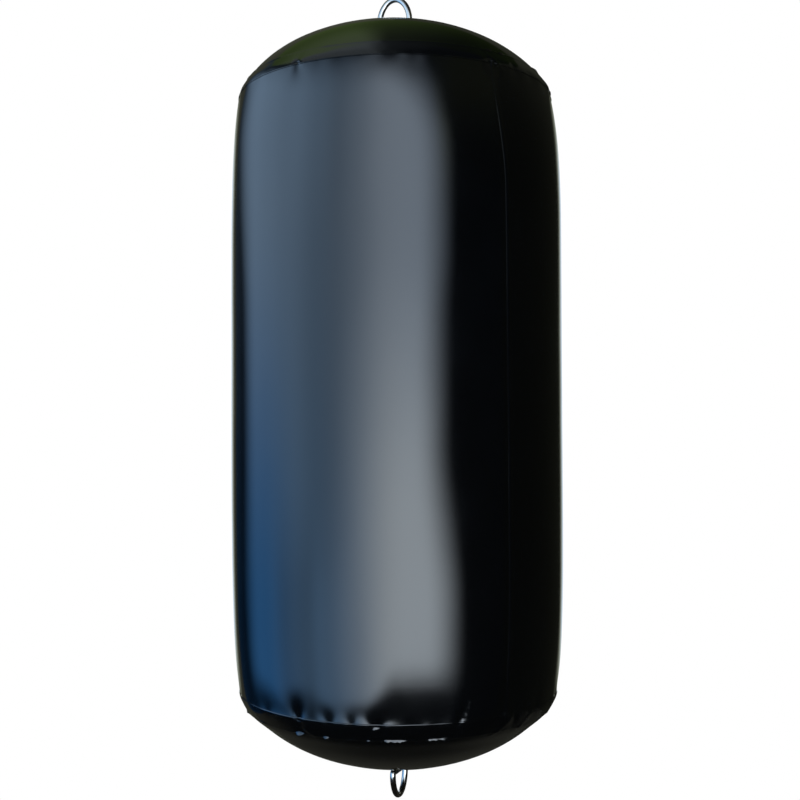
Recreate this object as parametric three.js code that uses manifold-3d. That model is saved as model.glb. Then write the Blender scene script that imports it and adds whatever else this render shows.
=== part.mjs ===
// An inflatable boat fender: a tube of coated fabric closed by two end discs, which blow out into
// domes. A tape covers each end seam, where the fabric is gathered. A steel ring hangs in a webbing
// loop on each end, and the valve sits on the top end beside the loop.
// The blown-up bag is one solid here, with a pocket for the valve.
// Millimetres, +Z up along the fender's axis, with the origin at the middle of the fender.
import * as THREE from "three";
import { mergeVertices } from "three/addons/utils/BufferGeometryUtils.js";
import Module from "manifold-3d";

// Fabric and the gap that every two touching pieces keep
const FABRIC = 1;
const GAP = 0.3;
const LAYER = FABRIC + GAP;

// Inflated envelope
const BODY_DIAMETER = 457.2;
const SEAM_TO_SEAM = 818;
const RIM_DRAW_IN = 11.5;
const DRAW_REACH = 66;
const DOME_HEIGHT = 99;
const DOME_OVERRUN = 14;

// Gathers along the end seams
const GATHERS = 36;
const GATHER_DEPTH = 3;
const GATHER_REACH_WALL = 26;
const GATHER_REACH_DOME = 20;

// Tape over each end seam
const TAPE_ON_WALL = 4;
const TAPE_ON_DOME = 21;

// Lap where one edge of the tube's sheet is welded over the other: it rises in a sharp step and
// dies away across its width
const LAP_WIDTH = 28;
const LAP_TURN = -25.5;
const LAP_TO_TAPE = 1.5;

// Steel ring: a straight bar in the webbing loop and a bow for the line
const RING_WIRE = 8;
const RING_INNER_WIDTH = 38;
const RING_HEIGHT = 37;
const RING_CORNER = 5.5;
const BAR_RISE = 10;
const TOP_RING_TURN = 0;
const BOTTOM_RING_TURN = 90;

// Webbing loop and the two round patches that hold its tails
const WEBBING = 1.6;
const WEBBING_WIDTH = 33;
const WEBBING_BEND = 2.5;
const TAIL_REACH = 41;
const BASE_PATCH_DIAMETER = 122;
const COVER_PATCH_DIAMETER = 110;
const COVER_RAMP = 5;
const SLOT_CLEARANCE = 1;

// Valve, on the top dome
const VALVE_FROM_AXIS = 108;
const VALVE_PATCH_DIAMETER = 92;
const VALVE_FLANGE_DIAMETER = 52;
const VALVE_FLANGE_RISE = 5;
const VALVE_NECK_DIAMETER = 30;
const VALVE_NECK_LENGTH = 17;
const VALVE_BORE = 19;
const VALVE_OUTLET = 11;
const VALVE_SEAT_DEPTH = 10;
const GASKET_DIAMETER = 48;
const GASKET = 1.5;
const NUT_DIAMETER = 50;
const NUT_THICKNESS = 6;
const NUT_NOTCHES = 8;
const NUT_NOTCH_DIAMETER = 7;
const PLUG_HEAD_DIAMETER = 30;
const PLUG_HEAD = 4;
const PLUG_GRIPS = 12;
const PLUG_GRIP_DIAMETER = 4;
const PLUG_SLOT_WIDTH = 2.4;
const PLUG_SLOT_LENGTH = 20;
const PLUG_SLOT_DEPTH = 1.8;
const SEAL = 1.2;
const SEAL_WIDTH = 3;

// Worked out from the sizes above
const RIM_Z = SEAM_TO_SEAM / 2;
const WALL_RADIUS = BODY_DIAMETER / 2;
const RIM_RADIUS = WALL_RADIUS - RIM_DRAW_IN;
const COLUMNS = 2 * GATHERS;
const WALL_ROWS = 6;
const DOME_ROWS = 7;
const TAIL_ROWS = 5;
const BAR_Z = RIM_Z + DOME_HEIGHT + BAR_RISE;
const TAIL_CORNER = Math.hypot(TAIL_REACH, WEBBING_WIDTH / 2);
const degrees = THREE.MathUtils.degToRad;

const wasm = await Module();
wasm.setup();

const materials = {
  skin: new THREE.MeshStandardMaterial({ color: 0x0b0c10, roughness: 0.28, metalness: 0 }),
  tape: new THREE.MeshStandardMaterial({ color: 0x0d0e11, roughness: 0.34, metalness: 0 }),
  patch: new THREE.MeshStandardMaterial({ color: 0x0e0f11, roughness: 0.42, metalness: 0 }),
  webbing: new THREE.MeshStandardMaterial({ color: 0x141416, roughness: 0.9, metalness: 0 }),
  steel: new THREE.MeshStandardMaterial({ color: 0xc8cbcf, roughness: 0.16, metalness: 1 }),
  nylon: new THREE.MeshStandardMaterial({ color: 0x191a1c, roughness: 0.5, metalness: 0 }),
  rubber: new THREE.MeshStandardMaterial({ color: 0x101010, roughness: 0.8, metalness: 0 }),
};

// Solids: joins and cuts on closed geometries

function solid(geometry) {
  const bare = new THREE.BufferGeometry().setAttribute("position", geometry.getAttribute("position"));
  if (geometry.index) bare.setIndex(geometry.index);
  const merged = mergeVertices(bare, 1e-4);
  return new wasm.Manifold(
    new wasm.Mesh({
      numProp: 3,
      vertProperties: merged.attributes.position.array,
      triVerts: new Uint32Array(merged.index.array),
    }),
  );
}

function geometryOf(made) {
  const mesh = made.getMesh();
  return new THREE.BufferGeometry()
    .setAttribute("position", new THREE.BufferAttribute(new Float32Array(mesh.vertProperties), 3))
    .setIndex(new THREE.BufferAttribute(new Uint32Array(mesh.triVerts), 1));
}

function piece(name, geometry, material) {
  const mesh = new THREE.Mesh(geometry, material);
  mesh.name = name;
  return mesh;
}

// A profile of (radius, height) points, in either direction, turned about the Z axis
function turned(profile, segments) {
  const outline = THREE.ShapeUtils.isClockWise(profile) ? [...profile].reverse() : profile;
  return new THREE.LatheGeometry(outline, segments).rotateX(Math.PI / 2);
}

function cylinder(diameter, bottom, top, segments = 32) {
  return new THREE.CylinderGeometry(diameter / 2, diameter / 2, top - bottom, segments)
    .rotateX(Math.PI / 2)
    .translate(0, 0, (top + bottom) / 2);
}

// The meridian of the bag's outer face. A station is a point on it with its outward normal.

function station(r, z, normalR, normalZ) {
  return { point: new THREE.Vector2(r, z), normal: new THREE.Vector2(normalR, normalZ).normalize() };
}

const offset = (at, distance) => at.point.clone().addScaledVector(at.normal, distance);

// Down the side from the rim: the tube draws in towards the rim
function wallStation(fromRim) {
  const draw = RIM_DRAW_IN * Math.exp(-fromRim / DRAW_REACH);
  return station(WALL_RADIUS - draw, RIM_Z - fromRim, 1, draw / DRAW_REACH);
}

// Up the dome from the rim, along an ellipse that would run past the rim by DOME_OVERRUN
const domeHalfWidth = RIM_RADIUS + DOME_OVERRUN;
const rimAngle = Math.acos(RIM_RADIUS / domeHalfWidth);
const domeHalfHeight = DOME_HEIGHT / (1 - Math.sin(rimAngle));
const domeCentre = RIM_Z + DOME_HEIGHT - domeHalfHeight;
const domeLine = new THREE.EllipseCurve(
  0, domeCentre, domeHalfWidth, domeHalfHeight, rimAngle, Math.PI / 2,
);
const domeLength = domeLine.getLength();

function domeStation(fromRim) {
  if (fromRim >= domeLength) return station(0, RIM_Z + DOME_HEIGHT, 0, 1);
  const point = domeLine.getPointAt(fromRim / domeLength);
  const along = domeLine.getTangentAt(fromRim / domeLength);
  return station(point.x, point.y, along.y, -along.x);
}

const cornerNormal = wallStation(0).normal.clone().add(domeStation(0).normal);
const corner = station(RIM_RADIUS, RIM_Z, cornerNormal.x, cornerNormal.y);

const domeStations = [corner];
for (let row = 0; row <= DOME_ROWS; row++) {
  domeStations.push(domeStation(THREE.MathUtils.lerp(TAPE_ON_DOME, domeLength, row / DOME_ROWS)));
}

const wallStations = [];
for (let row = 0; row <= WALL_ROWS; row++) {
  wallStations.push(wallStation(TAPE_ON_WALL + (RIM_Z - TAPE_ON_WALL) * (row / WALL_ROWS) ** 2));
}

// The dome's facets at an offset, from the axis out to a radius, as a line of (radius, height) points
function domeFacets(distance, outTo = Infinity) {
  const points = domeStations.map((at) => offset(at, distance)).reverse();
  const inside = points.filter((point) => point.x < outTo);
  const [last, next] = [inside.at(-1), points[inside.length]];
  if (next) inside.push(last.clone().lerp(next, (outTo - last.x) / (next.x - last.x)));
  return inside;
}

// The height of those facets at a radius
const domeZ = (radius, distance) => domeFacets(distance, Math.max(radius, 1e-3)).at(-1).y;

// Gathers: each odd column of facets is drawn in at the rim, no two neighbours alike, and the pull
// dies away up the dome and down the wall.

function gatherPull(x, y, z) {
  const column = Math.round((Math.atan2(y, x) / (2 * Math.PI)) * COLUMNS + COLUMNS) % COLUMNS;
  if (column % 2 === 0) return 0;
  const strength = 0.62 + 0.38 * Math.sin(1.2 * column);
  const fromRim = Math.abs(z) - RIM_Z;
  const reach = fromRim > 0 ? GATHER_REACH_DOME : GATHER_REACH_WALL;
  return GATHER_DEPTH * strength * Math.exp(-Math.abs(fromRim) / reach);
}

function gathered(geometry) {
  const position = geometry.getAttribute("position");
  for (let i = 0; i < position.count; i++) {
    const [x, y, z] = [position.getX(i), position.getY(i), position.getZ(i)];
    const radius = Math.hypot(x, y);
    if (radius < 1) continue;
    const scale = 1 - gatherPull(x, y, z) / radius;
    position.setXY(i, x * scale, y * scale);
  }
  return geometry;
}

// Bag

function mirrored(points) {
  return points.map((point) => new THREE.Vector2(point.x, -point.y));
}

// Everything inside the bag's face at an offset. The lower half is the upper one's mirror image.
function bagAt(distance) {
  const wall = wallStations.map((at) => offset(at, distance));
  const half = [...domeFacets(distance), ...wall];
  half.push(new THREE.Vector2(0, half.at(-1).y));
  const upper = solid(gathered(turned(half, COLUMNS)));
  return upper.add(upper.mirror([0, 0, 1]));
}

// The raised edge of the lap, sunk into the wall across its width
function lap() {
  const stations = [wallStation(TAPE_ON_WALL + LAP_TO_TAPE), ...wallStations.slice(1)];
  const side = (distance) => {
    const upper = stations.map((at) => offset(at, distance));
    return [...upper, ...mirrored(upper.slice(0, -1)).reverse()];
  };
  const [over, under] = [side(FABRIC), side(-2 * FABRIC)];
  const band = gathered(turned([...over, ...under.reverse(), over[0]], COLUMNS));
  const turn = degrees(LAP_TURN);
  const sector = new THREE.BoxGeometry(BODY_DIAMETER, LAP_WIDTH, 2 * RIM_Z)
    .translate(BODY_DIAMETER / 2, LAP_WIDTH / 2, 0)
    .rotateZ(turn);
  const strip = geometryOf(solid(band).intersect(solid(sector)));
  const sinkLine = new THREE.Vector3(-Math.sin(turn), Math.cos(turn), 0);
  const position = strip.getAttribute("position");
  for (let i = 0; i < position.count; i++) {
    const vertex = new THREE.Vector3().fromBufferAttribute(position, i);
    const sink = (1.05 * FABRIC * vertex.dot(sinkLine)) / LAP_WIDTH;
    const radius = Math.hypot(vertex.x, vertex.y);
    position.setXY(i, vertex.x * (1 - sink / radius), vertex.y * (1 - sink / radius));
  }
  return strip;
}

function inflatedBody() {
  const neck = valveHole(VALVE_NECK_DIAMETER + 2 * GAP, -VALVE_NECK_LENGTH - GAP);
  const pocket = valveHole(NUT_DIAMETER + 2 * GAP, -VALVE_NECK_LENGTH - GAP);
  const bag = bagAt(0).add(solid(lap()));
  return geometryOf(bag.subtract(neck).subtract(pocket.intersect(bagAt(-FABRIC))));
}

// A layer of fabric on the bag's face
const layerOnBag = () => bagAt(LAYER).subtract(bagAt(GAP));

// Joins two open faces turned from profiles of equal length, the second one outside, into a layer
function layerBetween(under, over) {
  const faces = [under, over].map((profile) => {
    const face = new THREE.LatheGeometry(profile, COLUMNS);
    return gathered(face.rotateX(Math.PI / 2));
  });
  const count = faces[0].getAttribute("position").count;
  const rows = under.length;
  const index = [...faces[1].index.array].map((at) => at + count);
  for (let i = 0; i < faces[0].index.count; i += 3) {
    const [a, b, c] = faces[0].index.array.slice(i, i + 3);
    index.push(a, c, b);
  }
  for (let column = 0; column < COLUMNS; column++) {
    const first = column * rows;
    for (const [a, b] of [[first + rows, first], [first + rows - 1, first + 2 * rows - 1]]) {
      index.push(a + count, b + count, b, a + count, b, a);
    }
  }
  const position = new Float32Array(6 * count);
  faces.forEach((face, i) => position.set(face.getAttribute("position").array, 3 * count * i));
  return new THREE.BufferGeometry()
    .setAttribute("position", new THREE.BufferAttribute(position, 3))
    .setIndex(index);
}

// The tape bends over the rim, from the wall onto the dome
function seamTape() {
  const path = [wallStations[0], ...domeStations.slice(0, 2)];
  const face = (distance) => path.map((at) => offset(at, distance));
  return layerBetween(face(GAP), face(LAYER));
}

// Ring, loop and patches on the dome's middle

function basePatch() {
  const under = domeFacets(GAP, BASE_PATCH_DIAMETER / 2);
  const over = domeFacets(LAYER, BASE_PATCH_DIAMETER / 2);
  return turned([...under, ...over.reverse()], COLUMNS / 2);
}

// Lies on the base patch round its edge, and is lifted over the webbing's tails in the middle
function coverPatch() {
  const low = LAYER + GAP;
  const high = low + WEBBING + GAP;
  const face = (lift) => [
    ...domeFacets(high + lift, TAIL_CORNER + 2 * GAP),
    ...domeFacets(low + lift, TAIL_CORNER + COVER_RAMP).slice(-1),
    ...domeFacets(low + lift, COVER_PATCH_DIAMETER / 2).filter(
      (point) => point.x > TAIL_CORNER + COVER_RAMP,
    ),
  ];
  const plate = turned([...face(0), ...face(FABRIC).reverse()], COLUMNS / 2);
  const loopHalfDepth = RING_WIRE / 2 + GAP + WEBBING + WEBBING_BEND;
  const slot = new THREE.BoxGeometry(
    WEBBING_WIDTH + 2 * SLOT_CLEARANCE, 2 * (loopHalfDepth + SLOT_CLEARANCE), 4 * BAR_RISE,
  ).translate(0, 0, RIM_Z + DOME_HEIGHT);
  return geometryOf(solid(plate).subtract(solid(slot)));
}

// Webbing round the ring's bar: over the bar, down both sides and out along the dome as two tails
function webbingLoop() {
  const inside = RING_WIRE / 2 + GAP;
  const outside = inside + WEBBING;
  const under = LAYER + GAP;
  const bendAt = outside + WEBBING_BEND;
  const shape = new THREE.Shape();
  const tailTop = (y) => domeZ(y, under + WEBBING);
  const tailUnder = (y) => domeZ(y, under);
  const rows = domeFacets(under, TAIL_REACH).map((point) => point.x).filter((y) => y > bendAt);
  for (let row = 1; row < TAIL_ROWS; row++) {
    rows.push(THREE.MathUtils.lerp(bendAt, TAIL_REACH, row / TAIL_ROWS));
  }
  rows.sort((a, b) => a - b);
  shape.moveTo(TAIL_REACH, tailUnder(TAIL_REACH));
  [...rows].reverse().forEach((y) => shape.lineTo(y, tailTop(y)));
  shape.lineTo(bendAt, tailTop(bendAt));
  shape.absarc(bendAt, tailTop(bendAt) + WEBBING_BEND, WEBBING_BEND, -Math.PI / 2, -Math.PI, true);
  shape.absarc(0, BAR_Z, outside, 0, Math.PI, false);
  shape.absarc(-bendAt, tailTop(bendAt) + WEBBING_BEND, WEBBING_BEND, 0, -Math.PI / 2, true);
  rows.forEach((y) => shape.lineTo(-y, tailTop(y)));
  [...rows].reverse().forEach((y) => shape.lineTo(-y, tailUnder(y)));
  const bendOut = WEBBING_BEND + WEBBING;
  shape.absarc(-bendAt, tailUnder(bendAt) + bendOut, bendOut, -Math.PI / 2, 0, false);
  shape.absarc(0, BAR_Z, inside, Math.PI, 0, true);
  shape.absarc(bendAt, tailUnder(bendAt) + bendOut, bendOut, Math.PI, 1.5 * Math.PI, false);
  rows.forEach((y) => shape.lineTo(y, tailUnder(y)));
  const strap = new THREE.ExtrudeGeometry(shape, {
    depth: WEBBING_WIDTH, steps: 2, bevelEnabled: false, curveSegments: 6,
  });
  strap.translate(0, 0, -WEBBING_WIDTH / 2).rotateX(Math.PI / 2).rotateZ(Math.PI / 2);
  return draped(strap);
}

// Lets the tails down onto the dome across their width too, and leaves the loop straight
function draped(strap) {
  const position = strap.getAttribute("position");
  const straightFrom = domeZ(0, LAYER + GAP + WEBBING) + WEBBING_BEND;
  for (let i = 0; i < position.count; i++) {
    const [x, y, z] = [position.getX(i), position.getY(i), position.getZ(i)];
    if (z > straightFrom) continue;
    position.setZ(i, z + domeZ(Math.hypot(x, y), 0) - domeZ(Math.abs(y), 0));
  }
  return strap;
}

function ring() {
  const half = (RING_INNER_WIDTH + RING_WIRE) / 2;
  const straight = half - RING_CORNER;
  const outline = new THREE.Path();
  outline.moveTo(0, 0);
  outline.lineTo(straight, 0);
  outline.absarc(straight, RING_CORNER, RING_CORNER, -Math.PI / 2, 0, false);
  outline.absellipse(0, RING_CORNER, half, RING_HEIGHT - RING_CORNER, 0, Math.PI, false);
  outline.absarc(-straight, RING_CORNER, RING_CORNER, Math.PI, 1.5 * Math.PI, false);
  outline.lineTo(0, 0);
  const points = outline.getSpacedPoints(48).slice(0, -1).map((p) => new THREE.Vector3(p.x, 0, p.y));
  const line = new THREE.CatmullRomCurve3(points, true);
  return new THREE.TubeGeometry(line, 48, RING_WIRE / 2, 8, true).translate(0, 0, BAR_Z);
}

// Valve, in its own frame: Z along its axis, zero on the disc's outer face

const valveFromRim = (() => {
  let [low, high] = [0, domeLength];
  while (high - low > 1e-6) {
    const middle = (low + high) / 2;
    if (domeStation(middle).point.x > VALVE_FROM_AXIS) low = middle;
    else high = middle;
  }
  return low;
})();
const valveSeat = domeStation(valveFromRim);
const valvePlace = new THREE.Matrix4()
  .makeTranslation(0, VALVE_FROM_AXIS, domeZ(VALVE_FROM_AXIS, 0))
  .multiply(new THREE.Matrix4().makeRotationX(-Math.atan2(valveSeat.normal.x, valveSeat.normal.y)));
const VALVE_REACH = 60;

const onValve = (geometry) => solid(geometry.applyMatrix4(valvePlace));
const valveHole = (diameter, from = -VALVE_REACH) => onValve(cylinder(diameter, from, VALVE_REACH));

function valvePatch() {
  const disc = layerOnBag().intersect(valveHole(VALVE_PATCH_DIAMETER, -VALVE_NECK_LENGTH));
  return geometryOf(disc.subtract(valveHole(VALVE_NECK_DIAMETER + 2 * GAP)));
}

function valveBody() {
  const flange = onValve(cylinder(VALVE_FLANGE_DIAMETER, -VALVE_NECK_LENGTH, VALVE_FLANGE_RISE));
  const neck = onValve(cylinder(VALVE_NECK_DIAMETER, -VALVE_NECK_LENGTH, VALVE_FLANGE_RISE));
  const bore = onValve(cylinder(VALVE_BORE, -VALVE_SEAT_DEPTH, VALVE_REACH));
  const outside = flange.subtract(bagAt(LAYER + GAP)).add(neck);
  return geometryOf(outside.subtract(bore).subtract(valveHole(VALVE_OUTLET)));
}

function valveGasket() {
  const top = -LAYER;
  const layer = bagAt(top).subtract(bagAt(top - GASKET));
  const disc = layer.intersect(valveHole(GASKET_DIAMETER, -VALVE_NECK_LENGTH));
  return geometryOf(disc.subtract(valveHole(VALVE_NECK_DIAMETER + 2 * GAP)));
}

function valveNut() {
  const top = -LAYER - GASKET - GAP;
  let nut = onValve(cylinder(NUT_DIAMETER, top - NUT_THICKNESS, VALVE_FLANGE_RISE));
  nut = nut.intersect(bagAt(top)).subtract(valveHole(VALVE_NECK_DIAMETER + 2 * GAP));
  for (let notch = 0; notch < NUT_NOTCHES; notch++) {
    const cut = cylinder(NUT_NOTCH_DIAMETER, -VALVE_REACH, VALVE_REACH, 10)
      .translate(NUT_DIAMETER / 2, 0, 0)
      .rotateZ((2 * Math.PI * notch) / NUT_NOTCHES);
    nut = nut.subtract(onValve(cut));
  }
  return geometryOf(nut);
}

function valvePlug() {
  const under = VALVE_FLANGE_RISE + GAP + SEAL + GAP;
  const top = under + PLUG_HEAD;
  const shank = cylinder(VALVE_BORE - 2 * GAP, GAP - VALVE_SEAT_DEPTH, under + PLUG_HEAD / 2);
  let plug = onValve(cylinder(PLUG_HEAD_DIAMETER, under, top)).add(onValve(shank));
  for (let grip = 0; grip < PLUG_GRIPS; grip++) {
    const cut = cylinder(PLUG_GRIP_DIAMETER, 0, VALVE_REACH, 8)
      .translate(PLUG_HEAD_DIAMETER / 2 + PLUG_GRIP_DIAMETER / 5, 0, 0)
      .rotateZ((2 * Math.PI * (grip + 0.5)) / PLUG_GRIPS);
    plug = plug.subtract(onValve(cut));
  }
  const slot = new THREE.BoxGeometry(PLUG_SLOT_LENGTH, PLUG_SLOT_WIDTH, 2 * PLUG_SLOT_DEPTH)
    .translate(0, 0, top);
  return geometryOf(plug.subtract(onValve(slot)));
}

function plugSeal() {
  const bottom = VALVE_FLANGE_RISE + GAP;
  const outer = cylinder(VALVE_BORE + 2 * SEAL_WIDTH, bottom, bottom + SEAL);
  return geometryOf(onValve(outer).subtract(valveHole(VALVE_BORE)));
}

// Assembly: what is on the bottom end is the mirror image of what is on the top end

function endPieces(name, ringTurn) {
  const group = new THREE.Group();
  const fitting = new THREE.Group();
  fitting.rotation.z = degrees(ringTurn);
  fitting.add(
    piece(`${name}_base_patch`, basePatch(), materials.patch),
    piece(`${name}_cover_patch`, coverPatch(), materials.patch),
    piece(`${name}_webbing_loop`, webbingLoop(), materials.webbing),
    piece(`${name}_ring`, ring(), materials.steel),
  );
  group.add(piece(`${name}_seam_tape`, seamTape(), materials.tape), fitting);
  return group;
}

const top = endPieces("top", TOP_RING_TURN);
const bottom = endPieces("bottom", BOTTOM_RING_TURN);
bottom.scale.z = -1;

const valve = new THREE.Group();
valve.add(
  piece("valve_patch", valvePatch(), materials.patch),
  piece("valve_body", valveBody(), materials.nylon),
  piece("valve_gasket", valveGasket(), materials.rubber),
  piece("valve_nut", valveNut(), materials.nylon),
  piece("valve_plug", valvePlug(), materials.nylon),
  piece("valve_plug_seal", plugSeal(), materials.rubber),
);

const fender = new THREE.Group();
fender.add(
  piece("inflated_body", inflatedBody(), materials.skin),
  top,
  bottom,
  valve,
);

export default fender;
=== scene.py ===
import math
import random

import bmesh
import bpy
from mathutils import Matrix, Vector, noise


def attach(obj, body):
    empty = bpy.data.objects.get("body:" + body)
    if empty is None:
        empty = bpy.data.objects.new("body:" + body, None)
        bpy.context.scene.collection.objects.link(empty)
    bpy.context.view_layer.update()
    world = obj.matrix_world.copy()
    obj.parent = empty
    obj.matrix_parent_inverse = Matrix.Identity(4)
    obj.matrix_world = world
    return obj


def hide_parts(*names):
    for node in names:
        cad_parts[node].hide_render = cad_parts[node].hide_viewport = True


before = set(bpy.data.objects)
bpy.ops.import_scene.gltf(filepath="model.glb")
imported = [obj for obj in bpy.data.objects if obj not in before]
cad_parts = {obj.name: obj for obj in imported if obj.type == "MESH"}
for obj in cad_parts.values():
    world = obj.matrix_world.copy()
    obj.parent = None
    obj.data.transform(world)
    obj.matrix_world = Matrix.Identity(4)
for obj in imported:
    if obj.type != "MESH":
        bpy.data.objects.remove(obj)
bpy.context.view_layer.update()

MM = 0.001

# Bag
WALL_RADIUS = 228.6 * MM
RIM_HEIGHT = 409 * MM
RIM_DRAW_IN = 11.5 * MM
DRAW_REACH = 66 * MM
DOME_HEIGHT = 99 * MM
DOME_OVERRUN = 14 * MM
ARC_STEPS = 400
LAP_ANGLE = math.radians(-30.1)
LAP_SHIFT = 14 * MM

# How the blown-up bag is uneven: waves, the top dome's lean to the left, a bulge at the bottom
# seam and one high on the right, each with its place and half its width
CLOTH_WAVE = 0.5 * MM
CLOTH_RIPPLE = 0.12 * MM
TOP_LEAN = 3 * MM
SEAM_BULGE, SEAM_BULGE_PLACE, SEAM_BULGE_WIDTH = 2.7 * MM, 21 * MM, 18 * MM
SIDE_BULGE, SIDE_BULGE_PLACE, SIDE_BULGE_WIDTH = 2.4 * MM, 0.28, 0.12

# Folds round a seam: how many, how many degrees apart, and the usual angle of the first
FOLD_COUNT = 36
FOLD_PITCH = 10
FIRST_FOLD = -175
GATHER_REACH = 130 * MM
RIDGE_FADE = 4  # in mm, as the ridges' places are
BEAD_PLACE = 19.2 * MM
BEAD_WIDTH = 1.4 * MM
PUCKER_HEIGHT = 2.2 * MM

# The part of a seam that the photo shows: the angle of its middle and half its width, in degrees
SEEN_MIDDLE = -68
SEEN_HALF_WIDTH = 62

# Ring, webbing and patches
BAR_HEIGHT = RIM_HEIGHT + DOME_HEIGHT + 10 * MM
WIRE_RADIUS = 4 * MM
RING_HALF_WIDTH = 22.4 * MM
RING_HEIGHT = 37 * MM
RING_CORNER = 5.5 * MM
WEBBING = 1.6 * MM
WEBBING_WIDTH = 33 * MM
TAIL_REACH = 41 * MM
SLOT_RADIUS = 6.5 * MM
SLOT_REACH = 17.6 * MM
SLOT_BORDER = 24 * MM

# Valve
VALVE_FROM_AXIS = 108 * MM

# Studio
FLOOR_RADIUS, FLOOR_HEIGHT = 2.75, -1.8
DARK_SHEET_RADIUS, DARK_SHEET_HEIGHT = 2.69, -1.78
ROOF_RADIUS, ROOF_HEIGHT = 2.74, 2.71
SKY_RADIUS, SHADE_RADIUS = 2.7, 2.72
CARD_FOOT, CARD_TOP = -1.79, 2.7

# Camera: to the right of the front, a little below the middle and tilted up slightly
CAMERA_ANGLE = math.radians(22)
CAMERA_DISTANCE = 1.600
CAMERA_DROP = 56.5 * MM
CAMERA_SHIFT = 4.4 * MM
CAMERA_TILT = math.radians(1.67)
CAMERA_ROLL = math.radians(-0.35)
CAMERA_LENS = 51.57

# Steps round the axis
SKIN_STEPS = 360
TAPE_STEPS = 480
PATCH_STEPS = 96
VALVE_STEPS = 72


# Camera


def direction(angle):
    """Points away from the axis, at an angle to the right of the camera's side."""
    return Vector((math.sin(CAMERA_ANGLE + angle), -math.cos(CAMERA_ANGLE + angle), 0))


def add_camera():
    """Stands where the photo was taken from."""
    camera = bpy.data.objects.new("camera", bpy.data.cameras.new("camera"))
    bpy.context.scene.collection.objects.link(camera)
    bpy.context.scene.camera = camera
    camera.data.sensor_width = 36
    camera.data.lens = CAMERA_LENS
    ahead = -direction(0)
    right = ahead.cross(Vector((0, 0, 1)))
    sight = ahead * math.cos(CAMERA_TILT) + Vector((0, 0, math.sin(CAMERA_TILT)))
    stand = right * CAMERA_SHIFT - ahead * CAMERA_DISTANCE - Vector((0, 0, CAMERA_DROP))
    turn = sight.to_track_quat("-Z", "Y").to_matrix().to_4x4()
    camera.matrix_world = Matrix.Translation(stand) @ turn @ Matrix.Rotation(CAMERA_ROLL, 4, "Z")


# Shading: sockets that are added and multiplied as numbers are


class Level:
    """A number that varies over a surface, held by a shader socket."""

    def __init__(self, finish, socket):
        self.finish = finish
        self.socket = socket

    def _math(self, operation, *values):
        made = self.finish.node("Math", {"operation": operation}, dict(enumerate(values)))
        return Level(self.finish, made.outputs[0])

    def __add__(self, other):
        return self._math("ADD", self, other)

    def __sub__(self, other):
        return self._math("SUBTRACT", self, other)

    def __rsub__(self, other):
        return self._math("SUBTRACT", other, self)

    def __mul__(self, other):
        return self._math("MULTIPLY", self, other)

    __radd__ = __add__
    __rmul__ = __mul__

    def sine(self):
        return self._math("SINE", self)

    def absolute(self):
        return self._math("ABSOLUTE", self)

    def step(self, start, end):
        """Runs smoothly from 0 at start to 1 at end."""
        settings = {"interpolation_type": "SMOOTHSTEP"}
        made = self.finish.node("MapRange", settings, {"Value": self, 1: start, 2: end})
        return Level(self.finish, made.outputs[0])


class Finish:
    """A material and the nodes in it."""

    def __init__(self, name, tree=None):
        if tree is None:
            self.material = bpy.data.materials.new(name)
            self.material.use_nodes = True
            tree = self.material.node_tree
        self.tree = tree
        self.tree.nodes.clear()

    def node(self, kind, settings=None, inputs=None):
        """A new shader node. Inputs are sockets, levels, colours or numbers."""
        made = self.tree.nodes.new("ShaderNode" + kind)
        for key, value in (settings or {}).items():
            setattr(made, key, value)
        for key, value in (inputs or {}).items():
            socket = made.inputs[key]
            if isinstance(value, Level):
                self.tree.links.new(value.socket, socket)
            elif isinstance(value, bpy.types.NodeSocket):
                self.tree.links.new(value, socket)
            elif isinstance(value, tuple) and socket.type == "RGBA":
                socket.default_value = (*value, 1)
            else:
                socket.default_value = value
        return made

    def angle(self, sideways, forward):
        """The angle of a direction, in radians."""
        made = self.node("Math", {"operation": "ARCTAN2"}, {0: sideways, 1: forward})
        return Level(self, made.outputs[0])

    def place(self):
        """The three coordinates of a point of the piece, in metres."""
        where = self.node("TexCoord").outputs["Object"]
        parts = self.node("SeparateXYZ", None, {0: where}).outputs
        return [Level(self, part) for part in parts]

    def noise(self, scale, detail=2.0, roughness=0.5, vector=None):
        vector = vector or self.node("TexCoord").outputs["Object"]
        inputs = {"Vector": vector, "Scale": scale, "Detail": detail, "Roughness": roughness}
        return Level(self, self.node("TexNoise", None, inputs).outputs[0])

    def stretched(self, scale):
        where = self.node("TexCoord").outputs["Object"]
        return self.node("Mapping", None, {"Vector": where, "Scale": scale}).outputs[0]

    def blend(self, mask, first, second):
        """A colour that runs from the first, where the mask is 0, to the second."""
        inputs = {0: mask, 6: first, 7: second}
        return self.node("Mix", {"data_type": "RGBA"}, inputs).outputs[2]

    def bump(self, height, distance, strength=1.0, under=None):
        inputs = {"Height": height, "Distance": distance, "Strength": strength}
        if under is not None:
            inputs["Normal"] = under
        return self.node("Bump", None, inputs).outputs[0]

    def surface(self, **inputs):
        named = {key.replace("_", " "): value for key, value in inputs.items()}
        shader = self.node("BsdfPrincipled", None, named)
        self.node("OutputMaterial", None, {"Surface": shader.outputs[0]})
        return self.material

    def glow(self, colour, strength):
        shader = self.node("Emission", None, {"Color": colour, "Strength": strength})
        self.node("OutputMaterial", None, {"Surface": shader.outputs[0]})
        return self.material


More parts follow.
